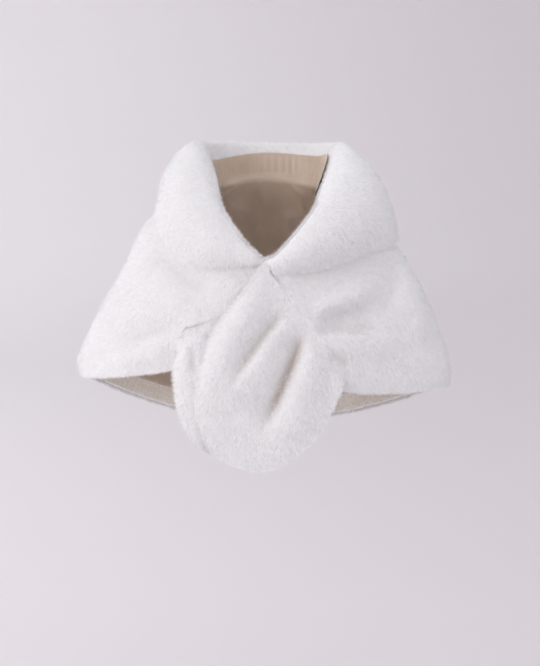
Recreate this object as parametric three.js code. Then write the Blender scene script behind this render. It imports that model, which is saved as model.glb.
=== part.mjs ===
// Faux fur capelet: a short bridal stole with a turned-over shawl collar and
// two pleated front ends that cross on the chest and flare into round tabs.
// Millimetres, +Z up, -Y is the wearer's front, +X the wearer's left.
// The origin is the centre of the base of the neck, between the shoulders.
import * as THREE from 'three';

// ---------------------------------------------------------------- sizes
const FUR = 14;            // fur cloth with its pile, body and back
const FUR_COLLAR = 13;     // fur cloth of the collar
const FUR_TAB = 15;        // fur cloth of the front ends
const SATIN = 1.2;         // lining
const FOOT = 1.6;          // clearance under the collar's stand
const LAID = 2;            // clearance under a piece that lies on another
const TURN_TOP = 38;       // fur turned in below the collar's roll
const TURN_HEM = 40;       // fur turned in above the hem
const SIDE = 90;           // azimuth of the side seams, degrees from centre back
const SKIN = 0.6;          // clearance behind the lining
const ROUND = 0.34;        // how far a free edge swells, of its thickness

// Rings of the body from the neckline (v 0) to the hem (v 1): half widths to
// the two sides, depths to the back and front, and the height at each; the
// front has a height for either side of the crossing.
const LEVELS = [
  { v: 0.00, left:  99, right: 110, back:  78, front: 138, zBack:   20, zLeft:    5, zRight:    5, zFrontLeft: -166, zFrontRight: -170 },
  { v: 0.12, left: 153, right: 159, back: 101, front: 142, zBack:  -38, zLeft:   -1, zRight:   -3, zFrontLeft: -190, zFrontRight: -192 },
  { v: 0.25, left: 208, right: 210, back: 120, front: 146, zBack: -105, zLeft:  -33, zRight:  -35, zFrontLeft: -215, zFrontRight: -215 },
  { v: 0.40, left: 260, right: 258, back: 136, front: 148, zBack: -183, zLeft:  -90, zRight:  -98, zFrontLeft: -250, zFrontRight: -250 },
  { v: 0.55, left: 298, right: 307, back: 146, front: 148, zBack: -262, zLeft: -168, zRight: -178, zFrontLeft: -288, zFrontRight: -290 },
  { v: 0.70, left: 340, right: 346, back: 150, front: 147, zBack: -343, zLeft: -241, zRight: -254, zFrontLeft: -326, zFrontRight: -336 },
  { v: 0.85, left: 376, right: 377, back: 152, front: 145, zBack: -424, zLeft: -314, zRight: -335, zFrontLeft: -364, zFrontRight: -392 },
  { v: 0.94, left: 396, right: 389, back: 152, front: 144, zBack: -474, zLeft: -362, zRight: -384, zFrontLeft: -388, zFrontRight: -430 },
  { v: 1.00, left: 394, right: 387, back: 150, front: 143, zBack: -507, zLeft: -396, zRight: -416, zFrontLeft: -404, zFrontRight: -454 },
];
const SQUARE = 2.15;       // roundness of the rings, 2 is an ellipse

// Where each front is gathered and tacked, from the foot of the V to the hem.
const GATHER = {
  left: [
    { v: 0.00, x:   -9, y: -140, z: -165 },
    { v: 0.16, x:  -15, y: -141, z: -199 },
    { v: 0.38, x:  -52, y: -142, z: -246 },
    { v: 0.58, x:  -92, y: -141, z: -274 },
    { v: 0.72, x: -124, y: -140, z: -286 },
    { v: 0.86, x: -170, y: -138, z: -305 },
    { v: 1.00, x: -182, y: -132, z: -360 },
  ],
  right: [
    { v: 0.00, x:   -2, y: -148, z: -172 },
    { v: 0.16, x:   26, y: -151, z: -203 },
    { v: 0.38, x:   62, y: -153, z: -250 },
    { v: 0.62, x:   93, y: -153, z: -288 },
    { v: 0.78, x:  119, y: -151, z: -326 },
    { v: 1.00, x:  153, y: -146, z: -409 },
  ],
};
const FAN_FROM = 104;      // azimuth where the rings start to draw to the gather

// Folds of the body, seen square from the front or the back: the line of each
// by three points, its half width, and its height (a negative one is a trough).
const FOLDS = [
  { face: 'front', x0:   34, z0: -200, x1:  140, z1: -178, x2:  244, z2: -152, width: 22, height:   6 },
  { face: 'front', x0:   64, z0: -250, x1:   95, z1: -243, x2:  126, z2: -238, width: 10, height:  -8 },
  { face: 'front', x0:   96, z0: -262, x1:  166, z1: -235, x2:  250, z2: -200, width: 17, height:   9 },
  { face: 'front', x0:  120, z0: -262, x1:  185, z1: -255, x2:  240, z2: -258, width: 17, height:  -9 },
  { face: 'front', x0:   93, z0: -288, x1:  156, z1: -287, x2:  222, z2: -288, width:  9, height: -13 },
  { face: 'front', x0:  120, z0: -318, x1:  190, z1: -330, x2:  262, z2: -345, width: 28, height:   8 },
  { face: 'front', x0:  264, z0: -140, x1:  254, z1: -215, x2:  220, z2: -284, width: 16, height:  -9 },
  { face: 'front', x0:  290, z0: -165, x1:  305, z1: -245, x2:  330, z2: -330, width: 26, height:   6 },
  { face: 'front', x0: -244, z0: -122, x1: -172, z1: -178, x2: -104, z2: -222, width: 17, height:  -7 },
  { face: 'front', x0: -206, z0: -222, x1: -160, z1: -248, x2: -126, z2: -268, width: 12, height:   5 },
  { face: 'front', x0: -302, z0: -335, x1: -240, z1: -299, x2: -128, z2: -287, width: 11, height: -10 },
  { face: 'front', x0: -330, z0: -362, x1: -255, z1: -345, x2: -190, z2: -338, width: 24, height:   6 },
  { face: 'back',  x0: -205, z0:  -95, x1: -120, z1: -205, x2:  -30, z2: -262, width: 24, height:  -7 },
  { face: 'back',  x0:  215, z0: -120, x1:  135, z1: -228, x2:   48, z2: -296, width: 24, height:  -7 },
  { face: 'back',  x0: -250, z0: -190, x1: -190, z1: -300, x2: -150, z2: -430, width: 26, height:   6 },
  { face: 'back',  x0: -130, z0: -330, x1: -112, z1: -410, x2: -118, z2: -500, width: 24, height:  -7 },
  { face: 'back',  x0:   20, z0: -290, x1:   38, z1: -390, x2:   30, z2: -500, width: 28, height:   6 },
  { face: 'back',  x0:  160, z0: -300, x1:  178, z1: -395, x2:  196, z2: -485, width: 24, height:  -7 },
];

// Collar stations from the foot of the V round the back (azimuth 0): the crest
// of the roll, its radius, how far down the body the fall reaches (v of its
// edge), and how far the fall swells outward between roll and edge.
const COLLAR = [
  { at: -174, x:  -12, y: -157, z: -156, roll:  9, fallV: 0.02, swell:  2 },
  { at: -163, x:  -23, y: -161, z: -142, roll: 11, fallV: 0.03, swell:  4 },
  { at: -150, x:  -39, y: -161, z: -127, roll: 13, fallV: 0.17, swell:  8 },
  { at: -135, x:  -66, y: -151, z:  -92, roll: 16, fallV: 0.35, swell: 12 },
  { at: -120, x:  -97, y: -122, z:  -35, roll: 18, fallV: 0.36, swell: 16 },
  { at: -105, x: -128, y:  -76, z:   36, roll: 21, fallV: 0.31, swell: 19 },
  { at:  -90, x: -147, y:  -12, z:   86, roll: 24, fallV: 0.28, swell: 21 },
  { at:  -65, x: -136, y:   52, z:   93, roll: 22, fallV: 0.25, swell: 18 },
  { at:  -35, x:  -85, y:   97, z:   95, roll: 20, fallV: 0.24, swell: 14 },
  { at:    0, x:    0, y:  112, z:   93, roll: 19, fallV: 0.25, swell: 14 },
  { at:   35, x:   89, y:   97, z:   91, roll: 20, fallV: 0.28, swell: 16 },
  { at:   65, x:  146, y:   52, z:   89, roll: 22, fallV: 0.34, swell: 22 },
  { at:   90, x:  164, y:  -12, z:   80, roll: 24, fallV: 0.43, swell: 27 },
  { at:  105, x:  154, y:  -70, z:   25, roll: 22, fallV: 0.43, swell: 24 },
  { at:  120, x:  113, y: -120, z:  -36, roll: 18, fallV: 0.39, swell: 18 },
  { at:  135, x:   64, y: -152, z:  -96, roll: 16, fallV: 0.32, swell: 12 },
  { at:  150, x:   25, y: -167, z: -138, roll: 13, fallV: 0.20, swell:  8 },
  { at:  163, x:    8, y: -168, z: -155, roll: 11, fallV: 0.10, swell:  4 },
  { at:  175, x:   -2, y: -166, z: -163, roll:  9, fallV: 0.04, swell:  2 },
];
const COLLAR_TIP = 7;      // thickness of the fur where the collar ends in the V

// Ribs of the front end that lies on top, fanning from the gather: where on
// the gather each rib starts, its middle and end seen from the front, and how
// far forward of the laid layer it stands at those three places.
const TAB_OVER = [
  { fold: 'edge',   tack: 0.01, x1:  -84, z1: -272, x2: -136, z2: -366, out0: 9,  out1: 7,  out2: 6 },
  { fold: 'ridge',  tack: 0.11, x1:  -66, z1: -312, x2: -136, z2: -470, out0: 14, out1: 24, out2: 7 },
  { fold: 'slope',  tack: 0.24, x1:  -36, z1: -322, x2: -112, z2: -530, out0: 7,  out1: 16, out2: 7 },
  { fold: 'trough', tack: 0.36, x1:   -9, z1: -332, x2:  -84, z2: -554, out0: 0,  out1: 4,  out2: 7 },
  { fold: 'ridge',  tack: 0.47, x1:   20, z1: -352, x2:  -46, z2: -570, out0: 5,  out1: 20, out2: 8 },
  { fold: 'trough', tack: 0.57, x1:   46, z1: -380, x2:   -4, z2: -575, out0: 0,  out1: 0,  out2: 6 },
  { fold: 'ridge',  tack: 0.67, x1:   80, z1: -408, x2:   48, z2: -554, out0: 4,  out1: 22, out2: 8 },
  { fold: 'slope',  tack: 0.73, x1:  108, z1: -398, x2:  110, z2: -496, out0: 2,  out1: 12, out2: 6 },
  { fold: 'edge',   tack: 0.78, x1:  131, z1: -361, x2:  151, z2: -410, out0: 0,  out1: 0,  out2: 2 },
];
const OVER_Y = -166;       // laid layer of the upper front end, outer face

// Ribs of the front end that lies beneath, from its outer side inward.
const TAB_UNDER = [
  { fold: 'edge',   tack: 0.86, x1: -187, z1: -372, x2: -183, z2: -408, out0: 1, out1: 4,  out2: 3 },
  { fold: 'ridge',  tack: 0.81, x1: -170, z1: -366, x2: -171, z2: -444, out0: 3, out1: 9,  out2: 4 },
  { fold: 'trough', tack: 0.76, x1: -151, z1: -358, x2: -151, z2: -490, out0: 0, out1: 0,  out2: 3 },
  { fold: 'ridge',  tack: 0.70, x1: -130, z1: -362, x2: -124, z2: -528, out0: 3, out1: 5,  out2: 2 },
  { fold: 'trough', tack: 0.60, x1:  -84, z1: -380, x2:  -84, z2: -550, out0: 0, out1: 0,  out2: 0 },
  { fold: 'ridge',  tack: 0.45, x1:  -36, z1: -360, x2:  -30, z2: -556, out0: 0, out1: 1,  out2: 0 },
  { fold: 'trough', tack: 0.30, x1:   14, z1: -330, x2:   30, z2: -530, out0: 0, out1: 0,  out2: 0 },
  { fold: 'edge',   tack: 0.14, x1:   40, z1: -300, x2:   74, z2: -460, out0: 0, out1: 0,  out2: 0 },
];
const UNDER_Y = -144;      // laid layer of the lower front end, outer face
const TACK_GAP = 1.4;      // clearance along the curved tack

// ---------------------------------------------------------------- small maths
const rad = THREE.MathUtils.degToRad;
const clamp = THREE.MathUtils.clamp;
const mix = THREE.MathUtils.lerp;
const FORWARD = new THREE.Vector3(0, -1, 0);
const ease = (t) => { const c = clamp(t, 0, 1); return c * c * (3 - 2 * c); };

// Smooth value of one column of a table at a key.
function column(rows, key, name, at) {
  let i = 0;
  while (i < rows.length - 2 && at > rows[i + 1][key]) i += 1;
  const k = (n) => rows[clamp(n, 0, rows.length - 1)];
  const [a, b] = [rows[i], rows[i + 1]];
  const span = b[key] - a[key];
  const t = clamp((at - a[key]) / span, 0, 1);
  const slope = (p, q) => (p === q ? 0 : (q[name] - p[name]) / (q[key] - p[key]));
  const ma = (i > 0 ? slope(k(i - 1), b) : slope(a, b)) * span;
  const mb = (i < rows.length - 2 ? slope(a, k(i + 2)) : slope(a, b)) * span;
  const t2 = t * t, t3 = t2 * t;
  return (2 * t3 - 3 * t2 + 1) * a[name] + (t3 - 2 * t2 + t) * ma
    + (-2 * t3 + 3 * t2) * b[name] + (t3 - t2) * mb;
}

// Point at t on the smooth curve through a few points, spaced by their chords.
function through(points, t) {
  const rows = points.map((p) => ({ s: 0, x: p.x, y: p.y, z: p.z }));
  for (let i = 1; i < rows.length; i += 1) {
    rows[i].s = rows[i - 1].s + Math.max(points[i].distanceTo(points[i - 1]), 1e-3);
  }
  const s = t * rows[rows.length - 1].s;
  return new THREE.Vector3(column(rows, 's', 'x', s), column(rows, 's', 'y', s), column(rows, 's', 'z', s));
}

// Normal of a surface by differences; side is +1 or -1 to point outward.
function normalOf(surface, u, v, side, du = 1e-3, dv = 1e-3) {
  const u0 = Math.max(u - du, 0), u1 = Math.min(u + du, 1);
  const v0 = Math.max(v - dv, 0), v1 = Math.min(v + dv, 1);
  const a = surface(u1, v).sub(surface(u0, v));
  const b = surface(u, v1).sub(surface(u, v0));
  return a.cross(b).normalize().multiplyScalar(side);
}

// ---------------------------------------------------------------- body
const gather = (rows, v) => new THREE.Vector3(
  column(rows, 'v', 'x', v), column(rows, 'v', 'y', v), column(rows, 'v', 'z', v));

// Plain ring point, then drawn to the gather at the front.
function bodyBase(azimuth, v) {
  const left = azimuth < 0, a = Math.abs(azimuth), r = rad(a);
  const half = column(LEVELS, 'v', left ? 'left' : 'right', v);
  const depth = column(LEVELS, 'v', a < 90 ? 'back' : 'front', v);
  const power = 2 / SQUARE;
  const x = (left ? -1 : 1) * half * Math.pow(Math.abs(Math.sin(r)), power);
  const y = Math.sign(Math.cos(r)) * depth * Math.pow(Math.abs(Math.cos(r)), power);
  const zSide = column(LEVELS, 'v', left ? 'zLeft' : 'zRight', v);
  const z = a < 90
    ? mix(column(LEVELS, 'v', 'zBack', v), zSide, ease(a / 90))
    : mix(zSide, column(LEVELS, 'v', left ? 'zFrontLeft' : 'zFrontRight', v), Math.pow((a - 90) / 90, 1.35));
  const p = new THREE.Vector3(x, y, z);
  if (a <= FAN_FROM) return p;
  return p.lerp(gather(left ? GATHER.left : GATHER.right, v), ease((a - FAN_FROM) / (180 - FAN_FROM)));
}

// Height of the folds at a place seen from the front or back.
function foldHeight(face, x, z) {
  let sum = 0;
  for (const f of FOLDS) {
    if (f.face !== face) continue;
    const pts = [[f.x0, f.z0], [f.x1, f.z1], [f.x2, f.z2]];
    let best = Infinity, along = 0;
    for (let i = 0; i < 2; i += 1) {
      const [ax, az] = pts[i], [bx, bz] = pts[i + 1];
      const dx = bx - ax, dz = bz - az;
      const t = clamp(((x - ax) * dx + (z - az) * dz) / (dx * dx + dz * dz), 0, 1);
      const d = Math.hypot(x - ax - t * dx, z - az - t * dz);
      if (d < best) { best = d; along = (i + t) / 2; }
    }
    const fade = ease(Math.min(along, 1 - along) / 0.22 + 0.25);
    sum += f.height * fade * Math.exp(-((best / f.width) ** 2));
  }
  return sum;
}

// Outer face of the body.
const uAzimuth = (azimuth) => (azimuth + 180) / 360;
const baseUV = (u, v) => bodyBase(u * 360 - 180, v);
function body(azimuth, v) {
  const p = bodyBase(azimuth, v);
  const n = normalOf(baseUV, uAzimuth(azimuth), v, 1);
  n.lerp(FORWARD, ease((Math.abs(azimuth) - 150) / 28)).normalize();
  const front = ease((Math.abs(azimuth) - 88) / 16), back = ease((92 - Math.abs(azimuth)) / 16);
  const near = ease(v / 0.1);
  const h = (front * foldHeight('front', p.x, p.z) + back * foldHeight('back', p.x, p.z)) * near;
  return p.addScaledVector(n, h);
}
const bodyUV = (u, v) => body(u * 360 - 180, v);
const bodyNormal = (azimuth, v) => normalOf(bodyUV, uAzimuth(azimuth), v, 1, 2e-3, 4e-3);

// ---------------------------------------------------------------- collar
// Section at an azimuth: stand from the neckline, roll, and fall to its edge.
function collarSection(azimuth) {
  const get = (name) => column(COLLAR, 'at', name, azimuth);
  const foot = body(azimuth, 0).addScaledVector(bodyNormal(azimuth, 0), FOOT);
  const crest = new THREE.Vector3(get('x'), get('y'), get('z'));
  const r = get('roll'), fallV = get('fallV');
  const edge = body(azimuth, fallV).addScaledVector(bodyNormal(azimuth, fallV), FUR_COLLAR + LAID);
  const stand = crest.clone().sub(foot).normalize();
  const out = edge.clone().sub(foot);
  out.addScaledVector(stand, -out.dot(stand)).normalize();
  const inner = crest.clone().addScaledVector(stand, -r).addScaledVector(out, -r * 0.85);
  const fall = edge.clone().sub(crest).normalize();
  const swell = stand.clone().addScaledVector(fall, -stand.dot(fall)).normalize().multiplyScalar(get('swell'));
  return [foot, inner, crest,
    crest.clone().lerp(edge, 0.33).add(swell), crest.clone().lerp(edge, 0.67).addScaledVector(swell, 0.9), edge];
}
const COLLAR_FROM = COLLAR[0].at, COLLAR_TO = COLLAR[COLLAR.length - 1].at;
const collar = (u, w) => through(collarSection(mix(COLLAR_FROM, COLLAR_TO, u)), w);

// ---------------------------------------------------------------- front ends
// A fan of ribs from the tack to the free edge. `inward` is the side of the
// gather line that the fan lies on, and `sunk` how far it is drawn in there.
function tabSurface(rows, tacks, baseY, inward, sunk) {
  const keyed = rows.map((r, i) => ({ ...r, s: i / (rows.length - 1) }));
  const bend = (q0, q1, q2, t) => column([{ t: 0, q: q0 }, { t: 0.42, q: q1 }, { t: 1, q: q2 }], 't', 'q', t);
  return (s, t) => {
    const c = (name) => column(keyed, 's', name, s);
    const v = c('tack'), p = gather(tacks, v);
    const along = gather(tacks, Math.min(v + 0.01, 1)).sub(gather(tacks, Math.max(v - 0.01, 0)));
    const off = TACK_GAP * inward / Math.hypot(along.x, along.z);
    return new THREE.Vector3(
      bend(p.x + along.z * off, c('x1'), c('x2'), t),
      baseY + mix(sunk, 0, ease(t / 0.16)) - bend(c('out0'), c('out1'), c('out2'), t),
      bend(p.z - along.x * off, c('z1'), c('z2'), t));
  };
}
const tabOver = tabSurface(TAB_OVER, GATHER.right, OVER_Y, 1, 6);
const tabUnder = tabSurface(TAB_UNDER, GATHER.left, UNDER_Y, -1, 2);

// ---------------------------------------------------------------- walls
// The two faces of a wall at a grid place: a surface and its thickness behind
// it. `lean` may turn the direction of the thickness near a seam.
function faced(surface, normal, thick, lean) {
  return (u, v) => {
    const p = surface(u, v), n = normal(u, v);
    if (lean) lean(u, v, n);
    return [p, p.clone().addScaledVector(n.normalize(), -(typeof thick === 'function' ? thick(u) : thick))];
  };
}

// Closed wall over a grid of such places, with its free edges rounded.
function wall(pair, { nu, nv, side, free = [] }) {
  const at = (i, j) => i * (nv + 1) + j;
  const outer = [], inner = [];
  for (let i = 0; i <= nu; i += 1) {
    for (let j = 0; j <= nv; j += 1) {
      const [o, q] = pair(i / nu, j / nv);
      outer.push(o);
      inner.push(q);
    }
  }
  const points = [...outer, ...inner], faces = [], half = outer.length;
  const tri = (a, b, c) => faces.push(...(side > 0 ? [a, b, c] : [a, c, b]));
  for (let i = 0; i < nu; i += 1) {
    for (let j = 0; j < nv; j += 1) {
      const [a, b, c, d] = [at(i, j), at(i + 1, j), at(i + 1, j + 1), at(i, j + 1)];
      tri(a, b, c); tri(a, c, d);
      tri(half + a, half + c, half + b); tri(half + a, half + d, half + c);
    }
  }
  const loop = [];
  for (let i = 0; i < nu; i += 1) loop.push([i, 0]);
  for (let j = 0; j < nv; j += 1) loop.push([nu, j]);
  for (let i = nu; i > 0; i -= 1) loop.push([i, nv]);
  for (let j = nv; j > 0; j -= 1) loop.push([0, j]);
  const rim = loop.map(([i, j]) => {
    const o = outer[at(i, j)], q = inner[at(i, j)];
    const mid = o.clone().add(q).multiplyScalar(0.5);
    const [u0, u1, v0, v1] = ['u0', 'u1', 'v0', 'v1'].map((e) => free.includes(e));
    const ii = clamp(i, u0 ? 1 : 0, u1 ? nu - 1 : nu), jj = clamp(j, v0 ? 1 : 0, v1 ? nv - 1 : nv);
    const from = outer[at(ii, jj)].clone().add(inner[at(ii, jj)]).multiplyScalar(0.5);
    const away = mid.clone().sub(from);
    const n = o.clone().sub(q).normalize();
    away.addScaledVector(n, -away.dot(n)).normalize();
    points.push(mid.addScaledVector(away, o.distanceTo(q) * ROUND));
    return points.length - 1;
  });
  loop.forEach(([i, j], k) => {
    const [i2, j2] = loop[(k + 1) % loop.length];
    const a = at(i, j), b = at(i2, j2), m = rim[k], m2 = rim[(k + 1) % loop.length];
    tri(b, a, m); tri(b, m, m2);
    tri(m2, m, half + a); tri(m2, half + a, half + b);
  });
  const geometry = new THREE.BufferGeometry();
  geometry.setAttribute('position', new THREE.Float32BufferAttribute(points.flatMap((p) => [p.x, p.y, p.z]), 3));
  geometry.setIndex(faces);
  geometry.computeVertexNormals();
  return geometry;
}

const TRIM = 0.08;         // degrees from a side seam's line to an edge
const stretch = (from, to, thick, lean) => faced(
  (u, v) => body(mix(from + TRIM, to - TRIM, u), v),
  (u, v) => bodyNormal(mix(from + TRIM, to - TRIM, u), v), thick, lean);
const ownNormal = (surface, side) => (u, v) => normalOf(surface, u, v, side, 4e-3, 4e-3);

// Near a tack the walls on both sides of it are squared to the front.
const squaredFrom = (azimuthOf) => (u, v, n) => n.lerp(FORWARD, ease((Math.abs(azimuthOf(u)) - 150) / 28));
const squaredTab = (s, t, n) => n.lerp(FORWARD, 1 - ease(t / 0.2));

// The collar thins to its tips, and its stand sits square on the body's edge.
const collarThick = (u) => mix(COLLAR_TIP, FUR_COLLAR, ease(Math.min(u, 1 - u) / 0.1));
const runOfBody = (azimuth) => body(azimuth, 0.03).sub(body(azimuth, 0)).normalize();
function standOnBody(u, w, n) {
  n.lerp(runOfBody(mix(COLLAR_FROM, COLLAR_TO, u)).negate(), 1 - ease(w / 0.16));
}

// Lining of the back: up the inside of the stand to the turned-in fur, and
// down the inside of the back panel to the turned-in hem, from their points.
const BACK_COLUMNS = 24, BACK_ROWS = 12, STAND_ROWS = 3;
const LINING_ROWS = STAND_ROWS + Math.round(BACK_ROWS * (1 - TURN_HEM / 530));
function liningPair(u, k) {
  const azimuth = mix(-SIDE + TRIM, SIDE - TRIM, u), row = Math.round(k * LINING_ROWS);
  const step = (p, n, d) => p.clone().addScaledVector(n, d);
  if (row < STAND_ROWS) {
    const cu = (azimuth - COLLAR_FROM) / (COLLAR_TO - COLLAR_FROM);
    const crestW = 0.36 * (1 - TURN_TOP / 92);
    const w = mix(crestW, 0.03, row / (STAND_ROWS - 1));
    const p = collar(cu, w), n = normalOf(collar, cu, w, 1, 4e-3, 4e-3);
    return [step(p, n, 2 * SKIN + SATIN), step(p, n, 2 * SKIN)];
  }
  const v = (row - STAND_ROWS) / BACK_ROWS, n = bodyNormal(azimuth, v);
  const p = body(azimuth, v);
  if (row === STAND_ROWS) {
    const neck = runOfBody(azimuth).negate();
    const corner = step(p, n, -FUR);
    const diagonal = neck.sub(n);
    return [step(corner, diagonal, 2 * SKIN + SATIN), step(corner, diagonal, 2 * SKIN)];
  }
  return [step(p, n, -(FUR + SKIN + SATIN)), step(p, n, -(FUR + SKIN))];
}

// ---------------------------------------------------------------- the object
const capelet = new THREE.Group();
function piece(name, geometry, colour, roughness) {
  const mesh = new THREE.Mesh(geometry, new THREE.MeshStandardMaterial({
    color: colour, roughness, metalness: 0, side: THREE.FrontSide,
  }));
  mesh.name = name;
  capelet.add(mesh);
}
const WHITE = 0xf4f2f1, CREAM = 0xe9dfd2;

piece('back', wall(stretch(-SIDE, SIDE, FUR),
  { nu: BACK_COLUMNS, nv: BACK_ROWS, side: 1, free: ['v1'] }), WHITE, 0.95);
piece('front_right', wall(stretch(-180, -SIDE, FUR, squaredFrom((u) => mix(-180, -SIDE, u))),
  { nu: 14, nv: 16, side: 1, free: ['v1'] }), WHITE, 0.95);
piece('front_left', wall(stretch(SIDE, 180, FUR, squaredFrom((u) => mix(SIDE, 180, u))),
  { nu: 14, nv: 16, side: 1, free: ['v1'] }), WHITE, 0.95);
piece('collar', wall(faced(collar, ownNormal(collar, 1), collarThick, standOnBody),
  { nu: 44, nv: 12, side: 1, free: ['v1', 'u0', 'u1'] }), WHITE, 0.95);
piece('tab_over', wall(faced(tabOver, ownNormal(tabOver, -1), FUR_TAB, squaredTab),
  { nu: 24, nv: 11, side: -1, free: ['v1', 'u0'] }), WHITE, 0.95);
piece('tab_under', wall(faced(tabUnder, ownNormal(tabUnder, -1), FUR_TAB - 1, squaredTab),
  { nu: 14, nv: 9, side: -1, free: ['v1', 'u0', 'u1'] }), WHITE, 0.95);
piece('lining', wall(liningPair,
  { nu: BACK_COLUMNS, nv: LINING_ROWS, side: -1 }), CREAM, 0.45);

export default capelet;
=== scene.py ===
"""Looks of the faux fur capelet: cloth shells with folds, pile strands, satin lining, light and camera."""

import math

import bpy
import numpy as np
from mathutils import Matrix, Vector


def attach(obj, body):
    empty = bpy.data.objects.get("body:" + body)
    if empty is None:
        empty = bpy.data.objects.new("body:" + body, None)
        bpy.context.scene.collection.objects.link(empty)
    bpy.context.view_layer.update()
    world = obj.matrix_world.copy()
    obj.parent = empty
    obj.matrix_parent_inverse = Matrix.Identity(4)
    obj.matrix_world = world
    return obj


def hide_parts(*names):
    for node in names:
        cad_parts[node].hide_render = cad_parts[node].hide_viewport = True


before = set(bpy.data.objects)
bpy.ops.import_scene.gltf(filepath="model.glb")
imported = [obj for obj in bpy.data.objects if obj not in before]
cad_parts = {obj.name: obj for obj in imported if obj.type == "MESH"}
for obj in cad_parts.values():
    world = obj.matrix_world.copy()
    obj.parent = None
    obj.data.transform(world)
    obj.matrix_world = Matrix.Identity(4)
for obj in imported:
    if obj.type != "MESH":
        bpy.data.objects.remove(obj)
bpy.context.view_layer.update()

# ---------------------------------------------------------------- sizes, mm
FUR, FUR_COLLAR, FUR_TAB = 14.0, 13.0, 15.0   # cloth with its pile, as in the solids
CLOTH = 8.0            # backing cloth with the dense underfur
PILE = 6.0             # height of the pile over the cloth
STRAND = 10.0          # length of a strand of pile
LEAN = 0.98            # how far the pile lies over, radians
SATIN = 1.2
TURN_TOP, TURN_HEM = 48.0, 40.0
FOOT, TACK_GAP = 1.6, 0.3
TUCK = 14.0            # of the upper tab's tip under the collar's end
EDGE_RISE = 10.0       # of the collar's lower edge over the body's fur
COLLAR_TIP = 7.0
OVER_Y, UNDER_Y = -166.0, -150.0
SQUARE, FAN_FROM = 2.15, 104.0
SIDE, TRIM = 90.0, 0.08


def table(names, rows):
    """A small table as named columns."""
    a = np.array(rows, float)
    return {n: a[:, i] for i, n in enumerate(names.split())}


# Rings of the body from the neckline to the hem.
LEVELS = table("v left right back front zBack zLeft zRight zFrontLeft zFrontRight", [
    [0.00,  99, 110,  78, 138,   20,    5,    5, -166, -170],
    [0.12, 153, 159, 101, 142,  -38,   -1,   -3, -190, -192],
    [0.25, 208, 210, 120, 146, -105,  -33,  -35, -215, -215],
    [0.40, 260, 258, 136, 148, -183,  -90,  -98, -250, -250],
    [0.55, 298, 307, 146, 148, -262, -168, -178, -288, -290],
    [0.70, 340, 346, 150, 147, -343, -241, -254, -326, -336],
    [0.85, 376, 377, 152, 145, -424, -314, -335, -364, -392],
    [0.94, 396, 389, 152, 144, -474, -362, -384, -388, -430],
    [1.00, 394, 387, 150, 143, -507, -396, -416, -404, -454],
])
# Where each front is gathered and tacked.
GATHER_LEFT = table("v x y z", [
    [0.00,   -3, -141, -167], [0.16,  -11, -142, -200], [0.38,  -52, -142, -246], [0.58,  -92, -141, -274],
    [0.72, -124, -140, -286], [0.86, -170, -138, -305], [1.00, -182, -132, -360],
])
GATHER_RIGHT = table("v x y z", [
    [0.00,   -2, -158, -172], [0.16,   26, -163, -203], [0.38,   62, -165, -250],
    [0.62,   93, -164, -288], [0.78,  119, -158, -326], [1.00,  153, -146, -409],
])
# Folds seen square from the front or back: a line by three points, its width
# above (or left of) the line and below it, and its height; a negative one is a
# trough. Unequal widths give a soft slope on one side and a tucked edge on the other.
FOLDS = {
    "front": table("x0 z0 x1 z1 x2 z2 above below height", [
        [  28, -196,  130, -176,  240, -150, 14, 34,  -5],
        [  92, -262,  150, -240,  222, -214, 20, 15,  10],
        [ 106, -276,  176, -258,  236, -246, 18, 26,  -8],
        [  94, -300,  162, -294,  250, -299, 24,  9, -10],
        [ 112, -322,  186, -322,  262, -340, 20, 34,   8],
        [ 262, -140,  258, -210,  232, -276, 30, 18,  -9],
        [ 288, -160,  305, -245,  326, -330, 26, 28,   9],
        [ 124, -336,  148, -352,  172, -372, 12,  9,  -7],
        [-250, -118, -176, -182, -104, -226, 24, 18,  -7],
        [-210, -222, -160, -246, -122, -262, 14, 14,   5],
        [-308, -340, -236, -303, -150, -292, 28, 13,  -8],
        [-330, -366, -255, -345, -192, -336, 20, 24,   8],
    ]),
    "back": table("x0 z0 x1 z1 x2 z2 above below height", [
        [-205,  -95, -120, -205,  -30, -262, 26, 16, -8],
        [ 215, -120,  135, -228,   48, -296, 26, 16, -8],
        [-250, -190, -190, -300, -150, -430, 26, 26,  6],
        [-130, -330, -112, -410, -118, -500, 26, 16, -8],
        [  20, -290,   38, -390,   30, -500, 28, 28,  6],
        [ 160, -300,  178, -395,  196, -485, 16, 26, -8],
        [ -30,  -85,   10, -120,   60, -130, 20, 14, -4],
    ]),
    "over": table("x0 z0 x1 z1 x2 z2 above below height", [
        [  50, -250,  -12, -318,  -70, -408, 36, 10, -19],
        [  82, -286,   42, -388,  -12, -508, 32, 13, -31],
    ]),
    "under": table("x0 z0 x1 z1 x2 z2 above below height", [
        [-146, -320, -144, -352, -140, -392, 10, 10,  -7],
        [-122, -298, -112, -314, -106, -334,  8,  6,  -6],
    ]),
}
FOLD_POWER = {"front": 2.0, "back": 1.9, "over": 1.35, "under": 1.6}   # 2 is round, 1 a sharp crease
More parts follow.
